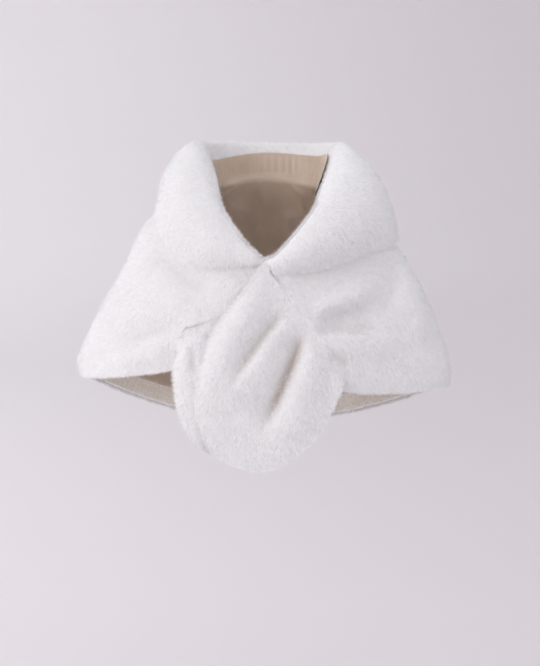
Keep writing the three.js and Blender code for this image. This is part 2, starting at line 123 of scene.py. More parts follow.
# Collar stations from the foot of the V round the back.
COLLAR = table("at x y z roll fallV swell", [
    [-174,   -4, -153, -161,  9, 0.02,  2],
    [-163,  -21, -161, -143, 12, 0.03,  6],
    [-150,  -39, -161, -127, 15, 0.17, 13],
    [-135,  -66, -151,  -92, 18, 0.35, 19],
    [-120, -101, -122,  -35, 20, 0.36, 23],
    [-105, -133,  -76,   36, 22, 0.31, 23],
    [ -90, -152,  -12,   86, 24, 0.28, 21],
    [ -65, -140,   52,   93, 22, 0.25, 18],
    [ -35,  -85,   97,   95, 20, 0.24, 14],
    [   0,    0,  112,   93, 19, 0.25, 14],
    [  35,   89,   97,   91, 20, 0.28, 16],
    [  65,  146,   52,   89, 22, 0.34, 22],
    [  90,  164,  -12,   80, 24, 0.43, 27],
    [ 105,  154,  -70,   25, 22, 0.43, 28],
    [ 120,  113, -120,  -36, 20, 0.39, 26],
    [ 135,   64, -152,  -96, 18, 0.32, 20],
    [ 150,   25, -167, -138, 15, 0.20, 13],
    [ 163,    8, -168, -155, 12, 0.10,  6],
    [ 175,   -2, -166, -163,  9, 0.04,  2],
])
COLLAR_FROM, COLLAR_TO = COLLAR["at"][0], COLLAR["at"][-1]
# Ribs of the two front ends: where each starts on the tack, its middle and end,
# and how far forward of the laid layer it stands at those three places.
TAB_OVER = table("tack x1 z1 x2 z2 out0 out1 out2", [
    [0.01,  -88, -276, -140, -366,  9, -2, -3],
    [0.06,  -80, -296, -141, -420, 12, 13,  4],
    [0.12,  -66, -312, -136, -470, 11, 22,  9],
    [0.24,  -36, -322, -112, -530,  6, 22, 10],
    [0.36,   -9, -332,  -84, -554,  3, 19,  9],
    [0.47,   20, -352,  -46, -570,  3, 19,  9],
    [0.57,   46, -380,   -4, -575,  3, 20,  9],
    [0.67,   80, -408,   48, -554,  3, 22,  9],
    [0.73,  108, -398,  110, -496,  1, 12,  6],
    [0.78,  131, -361,  151, -410, -4, -4, -2],
])
TAB_UNDER = table("tack x1 z1 x2 z2 out0 out1 out2", [
    [0.86, -188, -366, -188, -414, -1, -3, -3],
    [0.83, -181, -362, -182, -448,  8, 10,  4],
    [0.77, -160, -356, -161, -496, 13, 21, 11],
    [0.70, -132, -360, -128, -532, 13, 20,  9],
    [0.60,  -84, -380,  -84, -550,  0, -5, -4],
    [0.45,  -36, -360,  -30, -556, -6, -6, -5],
    [0.30,   14, -330,   30, -530, -6, -6, -5],
    [0.14,   40, -300,   74, -460, -6, -6, -5],
])


# ---------------------------------------------------------------- small maths
def ease(t):
    c = np.clip(t, 0, 1)
    return c * c * (3 - 2 * c)


def mix(a, b, t):
    return a + (b - a) * t


def unit(a):
    return a / np.maximum(np.linalg.norm(a, axis=-1, keepdims=True), 1e-9)


def smooth_through(k, q, at):
    """Smooth value at each `at` of a curve through q at keys k; q may hold points."""
    k, q, at = np.asarray(k, float), np.asarray(q, float), np.asarray(at, float)
    flat = q.ndim == 1
    if flat:
        q = q[:, None]
    m = np.empty_like(q)
    m[0] = (q[1] - q[0]) / (k[1] - k[0])
    m[-1] = (q[-1] - q[-2]) / (k[-1] - k[-2])
    m[1:-1] = (q[2:] - q[:-2]) / (k[2:] - k[:-2])[:, None]
    i = np.clip(np.searchsorted(k, at, side="left") - 1, 0, len(k) - 2)
    span = (k[i + 1] - k[i])[..., None]
    t = np.clip((at - k[i])[..., None] / span, 0, 1)
    t2, t3 = t * t, t * t * t
    out = ((2 * t3 - 3 * t2 + 1) * q[i] + (t3 - 2 * t2 + t) * m[i] * span
           + (-2 * t3 + 3 * t2) * q[i + 1] + (t3 - t2) * m[i + 1] * span)
    return out[..., 0] if flat else out


def column(rows, key, name, at):
    return smooth_through(rows[key], rows[name], at)


TABLE_SIZE = 1 << 14
LATTICE = np.random.default_rng(11).random(TABLE_SIZE) * 2 - 1


def noise(p, size, seed=0):
    """Smooth value noise in -1..1 at points p (mm), with cells of that size."""
    q = p / size + seed * 17.31
    i = np.floor(q).astype(np.int64)
    f = q - i
    f = f * f * (3 - 2 * f)
    out = np.zeros(p.shape[:-1])
    for dx in (0, 1):
        for dy in (0, 1):
            for dz in (0, 1):
                h = (i[..., 0] + dx) * 73856093 ^ (i[..., 1] + dy) * 19349663 ^ (i[..., 2] + dz) * 83492791 ^ seed * 2654435
                w = (np.abs(1 - dx - f[..., 0]) * np.abs(1 - dy - f[..., 1]) * np.abs(1 - dz - f[..., 2]))
                out += w * LATTICE[h % TABLE_SIZE]
    return out


# ---------------------------------------------------------------- surfaces
def gather(rows, v):
    return np.stack([column(rows, "v", c, v) for c in "xyz"], -1)


def body_base(azimuth, v):
    azimuth, v = np.broadcast_arrays(np.asarray(azimuth, float), np.asarray(v, float))
    left, a = azimuth < 0, np.abs(azimuth)
    r = np.radians(a)
    get = lambda name: column(LEVELS, "v", name, v)
    half = np.where(left, get("left"), get("right"))
    depth = np.where(a < 90, get("back"), get("front"))
    power = 2 / SQUARE
    x = np.where(left, -1, 1) * half * np.abs(np.sin(r)) ** power
    y = np.sign(np.cos(r)) * depth * np.abs(np.cos(r)) ** power
    z_side = np.where(left, get("zLeft"), get("zRight"))
    z_front = np.where(left, get("zFrontLeft"), get("zFrontRight"))
    z = np.where(a < 90, mix(get("zBack"), z_side, ease(a / 90)),
                 mix(z_side, z_front, np.clip((a - 90) / 90, 0, 1) ** 1.35))
    p = np.stack([x, y, z], -1)
    g = np.where(left[..., None], gather(GATHER_LEFT, v), gather(GATHER_RIGHT, v))
    past = np.where(left, p[..., 0] - g[..., 0], g[..., 0] - p[..., 0])
    over = np.where(a > 90, (past + np.sqrt(past * past + 200)) / 2, 0)
    p[..., 0] += np.where(left, -over, over) * ease((a - 120) / 30)
    return mix(p, g, ease((a - FAN_FROM) / (180 - FAN_FROM))[..., None])


def facing(n, azimuth):
    """Normals of the fronts, turned so that none looks inward near the crossing."""
    inward = (np.abs(azimuth) > 125) & (n[..., 1] > 0)
    n = n.copy()
    n[..., 1] = np.where(inward, -n[..., 1], n[..., 1])
    return n


def line_distance(f, i, x, z, parts=6):
    """Distance from the i-th fold's curve, how far along it, 0..1, and the side.

    The side is 1 above the curve, or left of one that falls, and -1 on the other."""
    best, along, side = np.full(x.shape, 1e9), np.zeros(x.shape), np.ones(x.shape)
    turn = -1.0 if f["x2"][i] >= f["x0"][i] else 1.0
    k = np.linspace(0, 1, parts + 1)
    b0, b1, b2 = 2 * k * k - 3 * k + 1, 4 * k - 4 * k * k, 2 * k * k - k
    px = b0 * f["x0"][i] + b1 * f["x1"][i] + b2 * f["x2"][i]
    pz = b0 * f["z0"][i] + b1 * f["z1"][i] + b2 * f["z2"][i]
    for s in range(parts):
        dx, dz = px[s + 1] - px[s], pz[s + 1] - pz[s]
        t = np.clip(((x - px[s]) * dx + (z - pz[s]) * dz) / (dx * dx + dz * dz), 0, 1)
        d = np.hypot(x - px[s] - t * dx, z - pz[s] - t * dz)
        cross = turn * ((x - px[s]) * dz - (z - pz[s]) * dx) / (np.hypot(dx, dz) * np.maximum(d, 1e-6))
        near = d < best
        best, along, side = np.where(near, d, best), np.where(near, (s + t) / parts, along), np.where(near, cross, side)
    return best, along, np.clip(side, -1, 1)


def fold_height(face, x, z):
    f, total = FOLDS[face], np.zeros(x.shape)
    for i in range(len(f["x0"])):
        d, along, side = line_distance(f, i, x, z)
        fade = ease(np.minimum(along, 1 - along) / 0.3 + 0.12)
        width = mix(f["below"][i], f["above"][i], (side + 1) / 2)
        total += f["height"][i] * fade * np.exp(-((d / width) ** FOLD_POWER[face]))
    return total


def trough_painted_shade(face, x, z):
    """How much painted shade each place gets in the troughs of a face, 0 to 1."""
    f, total = FOLDS[face], np.zeros(x.shape)
    for i in range(len(f["x0"])):
        if f["height"][i] < 0:
            d, along, side = line_distance(f, i, x, z)
            fade = ease(np.minimum(along, 1 - along) / 0.35)
            width = 0.62 * mix(f["below"][i], min(f["above"][i], 18), (side + 1) / 2)
            steep = -f["height"][i] / (f["above"][i] + f["below"][i])
            total += (1.25 if face == "over" else 0.6) * steep * fade * np.exp(-((d / width) ** 1.5))
    return np.minimum(total, 1.0)


def differences(surface, a, b, da, db, side):
    """Normal of surface(a, b) by differences."""
    n = np.cross(surface(a + da, b) - surface(a - da, b),
                 surface(a, np.clip(b + db, 0, 1)) - surface(a, np.clip(b - db, 0, 1)))
    return unit(n * side)


FORWARD = np.array([0.0, -1.0, 0.0])


def body(azimuth, v):
    """Outer face of the body with its folds."""
    azimuth, v = np.broadcast_arrays(np.asarray(azimuth, float), np.asarray(v, float))
    safe = np.clip(azimuth, -179.6, 179.6)
    p = body_base(azimuth, v)
    n = facing(differences(body_base, safe, v, 0.36, 1e-3, 1), azimuth)
    lean = ease((np.abs(azimuth) - 150) / 28)[..., None]
    n = unit(mix(n, FORWARD, lean))
    front, back = ease((np.abs(azimuth) - 88) / 16), ease((92 - np.abs(azimuth)) / 16)
    h = (front * fold_height("front", p[..., 0], p[..., 2])
         + back * fold_height("back", p[..., 0], p[..., 2])) * ease(v / 0.1)
    return p + n * h[..., None]


def body_normal(azimuth, v):
    return facing(differences(body, np.clip(np.asarray(azimuth, float), -179.2, 179.2), v, 0.72, 4e-3, 1), azimuth)


def neckline(azimuth):
    """How far down the body the collar's foot sits; at the V it hides behind the roll."""
    a = np.abs(azimuth)
    return 0.11 * ease((a - 106) / 22) * (1 - ease((a - 144) / 20))


def collar_sections(azimuth):
    """Control points of the collar's section at each azimuth."""
    get = lambda name: column(COLLAR, "at", name, azimuth)
    low = neckline(azimuth)
    foot = body(azimuth, low) + body_normal(azimuth, low) * FOOT
    crest = np.stack([get("x"), get("y"), get("z")], -1)
    r, fall_v = get("roll")[:, None], get("fallV")
    edge = body(azimuth, fall_v) + body_normal(azimuth, fall_v) * EDGE_RISE
    stand = unit(crest - foot)
    out = edge - foot
    out = unit(out - stand * (out * stand).sum(-1, keepdims=True))
    inner = crest - stand * r - out * r * 0.85
    fall = unit(edge - crest)
    swell = unit(stand - fall * (stand * fall).sum(-1, keepdims=True)) * get("swell")[:, None]
    return [foot, inner, crest, mix(crest, edge, 0.33) + swell, mix(crest, edge, 0.67) + swell * 0.9, edge]


def collar_grid(us, ws):
    """Points of the collar on a grid of places along it and across it."""
    azimuth = mix(COLLAR_FROM, COLLAR_TO, us)
    ctrl = np.stack(collar_sections(azimuth), 1)
    out = np.empty((len(us), len(ws), 3))
    for i, pts in enumerate(ctrl):
        s = np.concatenate([[0], np.cumsum(np.maximum(np.linalg.norm(np.diff(pts, axis=0), axis=1), 1e-3))])
        out[i] = smooth_through(s, pts, ws * s[-1])
    return out


def tab_grid(rows, tacks, base_y, inward, sunk, ss, ts, face):
    """Points of a gathered end, which starts that far before its tack and comes forward."""
    keys = np.linspace(0, 1, len(rows["tack"]))
    c = lambda name: smooth_through(keys, rows[name], ss)
    v = c("tack")
    p = gather(tacks, v)
    along = gather(tacks, np.minimum(v + 0.01, 1)) - gather(tacks, np.maximum(v - 0.01, 0))
    off = TACK_GAP * inward / np.hypot(along[:, 0], along[:, 2])

    def bend(q0, q1, q2):
        return np.stack([smooth_through([0, 0.42, 1], [a, b, d], ts) for a, b, d in zip(q0, q1, q2)])

    tuck = (1 - ease(ss / 0.14)) * (TUCK if face == "over" else 0)
    x = bend(p[:, 0] + along[:, 2] * off + tuck * 0.6, c("x1"), c("x2"))
    rise = mix(0.05, 0.16, ease(ss / 0.3))[:, None]
    y = mix(p[:, 1:2] - sunk, base_y, ease(ts[None, :] / rise)) - bend(c("out0"), c("out1"), c("out2"))
    z = bend(p[:, 2] - along[:, 0] * off + tuck, c("z1"), c("z2"))
    return np.stack([x, y - fold_height(face, x, z), z], -1)


def grid_normal(p, side):
    n = np.cross(np.gradient(p, axis=0), np.gradient(p, axis=1)) * side
    return unit(n)


def resample(grid, us, vs):
    """Bilinear value of a grid at fractions us, vs of its sides."""
    nu, nv = grid.shape[0] - 1, grid.shape[1] - 1
    a, b = np.clip(us * nu, 0, nu - 1e-6), np.clip(vs * nv, 0, nv - 1e-6)
    i, j = a.astype(int), b.astype(int)
    f, g = (a - i)[..., None], (b - j)[..., None]
    return (grid[i, j] * (1 - f) * (1 - g) + grid[i + 1, j] * f * (1 - g)
            + grid[i, j + 1] * (1 - f) * g + grid[i + 1, j + 1] * f * g)


# ---------------------------------------------------------------- meshes
def new_object(name, points, faces, materials, slots=None, smooth=True):
    """A mesh object from points in mm and faces as arrays of 3 or 4 indices."""
    mesh = bpy.data.meshes.new(name)
    faces = [np.asarray(f, np.int32) for f in faces]
    sizes = np.concatenate([np.full(len(f), f.shape[1], np.int32) for f in faces])
    loops = np.concatenate([f.ravel() for f in faces])
    starts = np.concatenate([[0], np.cumsum(sizes)[:-1]]).astype(np.int32)
    mesh.vertices.add(len(points))
    mesh.vertices.foreach_set("co", (np.asarray(points) / 1000).astype(np.float32).ravel())
    mesh.loops.add(len(loops))
    mesh.loops.foreach_set("vertex_index", loops)
    mesh.polygons.add(len(sizes))
    mesh.polygons.foreach_set("loop_start", starts)
    if slots is not None:
        mesh.polygons.foreach_set("material_index", np.asarray(slots, np.int32))
    mesh.polygons.foreach_set("use_smooth", np.full(len(sizes), smooth))
    mesh.update(calc_edges=True)
    for m in materials:
        mesh.materials.append(m)
    o = bpy.data.objects.new(name, mesh)
    bpy.context.scene.collection.objects.link(o)
    return o


def shell(name, outer, inner, side, materials, band=None, rim=3, free=(1, 1, 1, 1)):
    """Closed wall between two grids, with rounded rims on its free edges (u0, u1, v0, v1).

    band(i, j) gives True where an inner face is turned-in fur and not lining."""
    nu, nv = outer.shape[0] - 1, outer.shape[1] - 1
    idx = np.arange((nu + 1) * (nv + 1)).reshape(nu + 1, nv + 1)
    half = idx.size
    quads = np.stack([idx[:-1, :-1], idx[1:, :-1], idx[1:, 1:], idx[:-1, 1:]], -1).reshape(-1, 4)
    front = quads if side > 0 else quads[:, ::-1]
    back = quads[:, ::-1] if side > 0 else quads
    back = back + half
    ii, jj = [g.ravel() for g in np.meshgrid(np.arange(nu), np.arange(nv), indexing="ij")]
    inner_slot = np.ones(len(back), int)
    if band is not None:
        inner_slot[band((ii + 0.5) / nu, (jj + 0.5) / nv)] = 0
    loop = ([(i, 0) for i in range(nu)] + [(nu, j) for j in range(nv)]
            + [(i, nv) for i in range(nu, 0, -1)] + [(0, j) for j in range(nv, 0, -1)])
    li, lj = np.array(loop).T
    o, q = outer[li, lj], inner[li, lj]
    mid, across = (o + q) / 2, (o - q) / 2
    ci = np.clip(li, 1 if free[0] else 0, nu - 1 if free[1] else nu)
    cj = np.clip(lj, 1 if free[2] else 0, nv - 1 if free[3] else nv)
    away = mid - (outer[ci, cj] + inner[ci, cj]) / 2
    n = unit(across)
    away = away - n * (away * n).sum(-1, keepdims=True)
    size = np.linalg.norm(away, axis=-1, keepdims=True)
    away = np.where(size > 1e-6, away / np.maximum(size, 1e-6), 0)
    reach = np.linalg.norm(across, axis=-1, keepdims=True)
    rings = [idx[li, lj]]
    points = [outer.reshape(-1, 3), inner.reshape(-1, 3)]
    count = 2 * half
    for k in range(1, rim + 1):
        th = math.pi * k / (rim + 1)
        ring = mid + across * math.cos(th) + away * reach * math.sin(th)
        points.append(ring)
        rings.append(np.arange(len(loop)) + count)
        count += len(loop)
    rings.append(idx[li, lj] + half)
    strips = []
    for a, b in zip(rings[:-1], rings[1:]):
        s = np.stack([np.roll(a, -1), a, b, np.roll(b, -1)], -1)
        strips.append(s if side > 0 else s[:, ::-1])
    strips = np.concatenate(strips)
    slots = np.concatenate([np.zeros(len(front), int), inner_slot, np.zeros(len(strips), int)])
    return new_object(name, np.concatenate(points), [np.concatenate([front, back, strips])], materials, slots)


def pile(name, grids, count, material, seed, length=STRAND, width=0.95):
    """Strands of pile as one mesh of slender triangles rooted on a list of grids.

    Each grid is points, normals, softened normals for the shading, directions that the
    pile lies in, a density, how far the pile lies over in radians, and how much painted shade its colour gets."""
    rng = np.random.default_rng(seed)
    weights = []
    for points, _, _, _, density, _, _ in grids:
        e1, e2 = points[1:, :-1] - points[:-1, :-1], points[:-1, 1:] - points[:-1, :-1]
        weights.append((np.linalg.norm(np.cross(e1, e2), axis=-1) * (density[1:, 1:] + density[:-1, :-1]) / 2).ravel())
    share = np.array([w.sum() for w in weights])
    counts = np.floor(count * share / share.sum()).astype(int)
    parts = []
    for (points, normals, soft, nap, _, lean, shaded), w, k in zip(grids, weights, counts):
        cell = rng.choice(len(w), k, p=w / w.sum())
        nu, nv = points.shape[0] - 1, points.shape[1] - 1
        u, v = (cell // nv + rng.random(k)) / nu, (cell % nv + rng.random(k)) / nv
        parts.append([resample(points, u, v), resample(normals, u, v), resample(soft, u, v),
                      resample(nap, u, v), resample(np.stack([lean, shaded], -1), u, v), u, v])
    root, n, soft, d, extra, us, vs = [np.concatenate(c) for c in zip(*parts)]
    lean, shaded = extra.T
    count = len(root)
    n, soft = unit(n), unit(soft)
    d = unit(d - n * (d * n).sum(-1, keepdims=True))
    b = np.cross(n, d)
    turn = (0.14 * noise(root, 60, seed) + 0.10 * noise(root, 17, seed + 1) + 0.26 * noise(root, 4.5, seed + 2)
            + rng.normal(0, 0.36, count))
    guard = rng.random(count) < 0.12          # longer, finer hairs that stand up
    tilt = np.clip(lean + 0.03 * noise(root, 30, seed + 3) - 0.2 * guard
                   + 0.12 * noise(root, 4.5, seed + 4) + rng.normal(0, 0.2, count), 0.1, 1.3)
    t = d * np.cos(turn)[:, None] + b * np.sin(turn)[:, None]
    along = n * np.cos(tilt)[:, None] + t * np.sin(tilt)[:, None]
    size = length * (1 + 0.10 * noise(root, 7, seed + 5)) * rng.uniform(0.75, 1.2, count) * (1 + 0.3 * guard)
    tip = root + along * size[:, None]
    across = unit(np.cross(along, n))
    roll = rng.normal(0, 0.2, count)[:, None]
    across = across * np.cos(roll) + np.cross(along, across) * np.sin(roll)
    w = (width * (1 - 0.35 * guard) * rng.uniform(0.75, 1.25, count) / 2)[:, None]
    a, c = root - across * w, root + across * w
    face = np.cross(c - a, tip - a)
    flip = (face * soft).sum(-1) < 0
    a[flip], c[flip] = c[flip], a[flip].copy()
    corners = np.stack([a, c, tip], 1).reshape(-1, 3)
    o = new_object(name, corners, [np.arange(3 * count, dtype=np.int32).reshape(-1, 3)], [material])
    shade = unit(soft - along * 0.12 + rng.normal(0, 0.24, (count, 3)))
    o.data.normals_split_custom_set(np.repeat(shade, 3, axis=0).astype(np.float32))
    value = np.clip(0.98 + 0.010 * noise(root, 24, seed + 6) + 0.02 * noise(root, 5, seed + 7)
                    + rng.normal(0, 0.035, count), 0, 1.02)
    tone_and_shade_colours = np.ones((count, 3, 4), np.float32)
    # Painted shade: creases are darker, and the insides, marked by values under 0, get a warmer painted shade; the
    # roots are painted darker than the tips.
    for k, (crease_shade, warm_shade) in enumerate(((0.57, 0.0), (0.64, 0.09), (0.69, 0.22))):
        shade_k = 1 - crease_shade * np.maximum(shaded, 0) - warm_shade * np.maximum(-shaded, 0)
        tone_and_shade_colours[:, :, k] = (value * shade_k)[:, None] * np.array([0.80, 0.80, 1.0])
    attr = o.data.color_attributes.new("tone_and_painted_shade", "FLOAT_COLOR", "POINT")
    attr.data.foreach_set("color", tone_and_shade_colours.ravel())
    uv = o.data.uv_layers.new(name="root")
    uv.data.foreach_set("uv", np.repeat(np.stack([us, vs], -1), 3, axis=0).astype(np.float32).ravel())
    # Light passes through white pile and scatters in it, so it throws no shade on itself.
    o.visible_shadow = o.visible_diffuse = False
    return o


# ---------------------------------------------------------------- materials
def material(name, **sockets):
    m = bpy.data.materials.new(name)
    m.use_nodes = True
    s = m.node_tree.nodes["Principled BSDF"]
    for k, v in sockets.items():
        s.inputs[k.replace("_", " ")].default_value = v
    return m, m.node_tree, s


def fur_material():
    m, t, s = material("fur_pile", Roughness=0.85, Sheen_Weight=0.25, Sheen_Roughness=0.45)
    s.inputs["Specular IOR Level"].default_value = 0.18
    # The vertex colour holds the random tone of the strands and their painted shade in creases, insides and roots.
    tone_and_painted_shade = t.nodes.new("ShaderNodeVertexColor")
    tone_and_painted_shade.layer_name = "tone_and_painted_shade"
    warm = t.nodes.new("ShaderNodeTexNoise")
    warm.inputs["Scale"].default_value = 9.0
    warm.inputs["Detail"].default_value = 3.0
    where = t.nodes.new("ShaderNodeTexCoord")
    t.links.new(where.outputs["Object"], warm.inputs["Vector"])
    ramp = t.nodes.new("ShaderNodeValToRGB")
    ramp.color_ramp.elements[0].position, ramp.color_ramp.elements[0].color = 0.30, (0.955, 0.948, 0.945, 1)
    ramp.color_ramp.elements[1].position, ramp.color_ramp.elements[1].color = 0.70, (0.985, 0.980, 0.978, 1)
    t.links.new(warm.outputs["Fac"], ramp.inputs["Fac"])
    mul = t.nodes.new("ShaderNodeMix")
    mul.data_type, mul.blend_type = "RGBA", "MULTIPLY"
    mul.inputs["Factor"].default_value = 1.0
    t.links.new(ramp.outputs["Color"], mul.inputs[6])
    t.links.new(tone_and_painted_shade.outputs["Color"], mul.inputs[7])
    t.links.new(mul.outputs[2], s.inputs["Base Color"])
    return m


def underfur_material():
    m, t, s = material("fur_ground", Roughness=0.95, Sheen_Weight=0.2, Sheen_Roughness=0.5)
    s.inputs["Specular IOR Level"].default_value = 0.1
    where = t.nodes.new("ShaderNodeTexCoord")
    n1 = t.nodes.new("ShaderNodeTexNoise")
    n1.inputs["Scale"].default_value = 420.0
    n1.inputs["Detail"].default_value = 3.0
    t.links.new(where.outputs["Object"], n1.inputs["Vector"])
    ramp = t.nodes.new("ShaderNodeValToRGB")
    ramp.color_ramp.elements[0].position, ramp.color_ramp.elements[0].color = 0.25, (0.90, 0.892, 0.888, 1)
    ramp.color_ramp.elements[1].position, ramp.color_ramp.elements[1].color = 0.75, (0.96, 0.955, 0.95, 1)
    t.links.new(n1.outputs["Fac"], ramp.inputs["Fac"])
    t.links.new(ramp.outputs["Color"], s.inputs["Base Color"])
    bump = t.nodes.new("ShaderNodeBump")
    bump.inputs["Strength"].default_value = 0.3
    bump.inputs["Distance"].default_value = 0.002
    t.links.new(n1.outputs["Fac"], bump.inputs["Height"])
    t.links.new(bump.outputs["Normal"], s.inputs["Normal"])
    return m


def satin_material():
    m, t, s = material("satin", Roughness=0.34, Sheen_Weight=0.15, Sheen_Roughness=0.3)
    s.inputs["Specular IOR Level"].default_value = 0.5
    where = t.nodes.new("ShaderNodeTexCoord")
    scale = t.nodes.new("ShaderNodeMapping")
    scale.inputs["Scale"].default_value = (900.0, 900.0, 140.0)
    weave = t.nodes.new("ShaderNodeTexNoise")
    weave.inputs["Scale"].default_value = 1.0
    weave.inputs["Detail"].default_value = 2.0
    t.links.new(where.outputs["Object"], scale.inputs["Vector"])
    t.links.new(scale.outputs["Vector"], weave.inputs["Vector"])
    soft = t.nodes.new("ShaderNodeTexNoise")
    soft.inputs["Scale"].default_value = 14.0
    soft.inputs["Detail"].default_value = 3.0
    t.links.new(where.outputs["Object"], soft.inputs["Vector"])
    # The lining's warm tan is partly its own colour and partly painted shade, made darker for the shade it lies in
    # inside the garment.
    ramp = t.nodes.new("ShaderNodeValToRGB")
    ramp.color_ramp.elements[0].position, ramp.color_ramp.elements[0].color = 0.3, (0.46, 0.355, 0.265, 1)
    ramp.color_ramp.elements[1].position, ramp.color_ramp.elements[1].color = 0.7, (0.56, 0.45, 0.35, 1)
    t.links.new(soft.outputs["Fac"], ramp.inputs["Fac"])
    t.links.new(ramp.outputs["Color"], s.inputs["Base Color"])
    b1 = t.nodes.new("ShaderNodeBump")
    b1.inputs["Strength"].default_value = 0.35
    b1.inputs["Distance"].default_value = 0.0015
    t.links.new(weave.outputs["Fac"], b1.inputs["Height"])
    t.links.new(b1.outputs["Normal"], s.inputs["Normal"])
    return m


PILE_MAT, GROUND_MAT, SATIN_MAT = fur_material(), underfur_material(), satin_material()


# ---------------------------------------------------------------- pieces
def down_nap(points, normals, tangent, pull=0.6):
    """Directions the pile lies in: along the cloth, drawn downward."""
    down = np.array([0.0, 0.0, -1.0])
    fall = down - normals * (normals @ down)[..., None]
    return unit(unit(tangent) * (1 - pull) + fall * pull + 1e-6)


def box_mean(a, reach):
    """Average of a grid over so many cells each way."""
    for axis in (0, 1):
        r = min(reach, a.shape[axis] // 2 - 1)
        pad = [(r + 1, r) if k == axis else (0, 0) for k in range(3)]
        c = np.cumsum(np.pad(a, pad, mode="edge"), axis=axis)
        m = a.shape[axis]
        a = (np.take(c, np.arange(2 * r + 1, 2 * r + 1 + m), axis) - np.take(c, np.arange(m), axis)) / (2 * r + 1)
    return a


def soften(n, reach, share=0.25):
    """Normals mixed with their own average."""
    share = share[..., None] if np.ndim(share) else share
    return unit(mix(n, unit(box_mean(n, reach)), share))


def declare(o, fur_objects, nodes):
    for x in (o, *fur_objects):
        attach(x, "root")
    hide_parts(*nodes)


def around(points, normals, tangent, inner_depth, rows_rim):
    """Points, normals and nap of a rim carried round the free edge at the last row."""
    edge, n = points[:, -1], normals[:, -1]
    out = unit(points[:, -1] - points[:, -3])
    out = unit(out - n * (out * n).sum(-1, keepdims=True))
    r = (inner_depth[:, -1] if np.ndim(inner_depth) else inner_depth) / 2
    rows_p, rows_n, rows_t = [], [], []
    for k in range(rows_rim + 1):
        th = math.pi * k / rows_rim
        rows_p.append(edge - n * r + n * r * math.cos(th) + out * r * math.sin(th))
        rows_n.append(unit(n * math.cos(th) + out * math.sin(th)))
        rows_t.append(unit(out * math.cos(th) - n * math.sin(th) + out * 0.6))
    return np.stack(rows_p, 1), np.stack(rows_n, 1), np.stack(rows_t, 1)


def even(grid, value):
    return np.full(grid.shape[:2], float(value))


RIM = 0.8          # lean of the pile round a free edge


def rim_light(rn, n):
    """Normals for the shading of a rim: it is lit as the face, but for its last rows, lit as the inside."""
    turn = np.where(np.arange(rn.shape[1]) < 5, 1.0, -1.0)[None, :, None]
    return unit(rn * 0.6 + n[:, -1:] * turn)


def turned(g):
    """A grid's arrays with rows and columns exchanged, for its other free edges."""
    return [a.swapaxes(0, 1) for a in g]


def fur_over(p, n, t, depth, band, dens=None, lean=None, band_dens=0.9, reach=5, inside_shade=0.5, shaded=None, share=0.25):
    """Grid for the pile of a cloth face, its rim and the band turned in behind it.

    band is the number of rows from the edge that are turned in; those rows and the rim's inner rows get painted warm
    shade."""
    dens = even(p, 1) if dens is None else dens
    lean = even(p, LEAN) if lean is None else lean
    shaded = even(p, 0) if shaded is None else shaded
    rp, rn, rt = around(p, n, t, depth, 6)
    q, qn, qt = (p - n * depth)[:, ::-1][:, :band], -n[:, ::-1][:, :band], -t[:, ::-1][:, :band]
    # Painted warm shade on the rim's inner rows, growing towards the turned-in band.
    rim_shade = even(rp, -inside_shade) * ease((np.arange(7) - 3) / 3)[None, :]
    return [np.concatenate(c, 1) for c in zip(
        (p, n, soften(n, 2 * reach, share), t, dens, lean, shaded),
        (rp, rn, rim_light(rn, n), rt, even(rp, 1.3), even(rp, RIM), rim_shade),
        (q, qn, qn, qt, even(q, band_dens), even(q, LEAN + 0.22), even(q, -inside_shade)))]


def lining_top(azimuth):
    """Where the lining ends on the collar's stand: it runs out to the neckline beyond the shoulders."""
    return mix(0.36 * (1 - TURN_TOP / 92), 0.04, ease((np.abs(azimuth) - 94) / 14))


def side_rims(p, n, t, depth):
    """Grids for the pile round the first and last columns of a cloth face."""
    out = []
    for last in (0, 1):
        q, m, k = turned((p, n, t) if last else (p[::-1], n[::-1], t[::-1]))
        deep = depth if np.ndim(depth) == 0 else turned([depth if last else depth[::-1]])[0]
        rp, rn, rt = around(q, m, k, deep, 6)
        rt = unit(rt * 0.5 + np.repeat(k[:, -1:], 7, 1) * 0.8)
        out.append([rp, rn, rim_light(rn, m), rt, even(rp, 1.3), even(rp, RIM), even(rp, 0)])
    return out


def first_rim(p, n, t, depth):
    """Grid for the pile over the gathered edge at the first row."""
    q, m, k = p[:, ::-1], n[:, ::-1], t[:, ::-1]
    rp, rn, rt = around(q, m, k, depth, 6)
    rt = unit(rt * 0.3 + np.repeat(k[:, -1:], 7, 1))
    return [rp, rn, unit(np.repeat(m[:, -1:], 7, 1) * 0.9 + np.array([0, -0.3, 0.25])), rt, even(rp, 1.3), even(rp, RIM), even(rp, 0)]


DENSITY = 1.0     # of the full number of strands


def strands(n):
    return int(n * DENSITY)


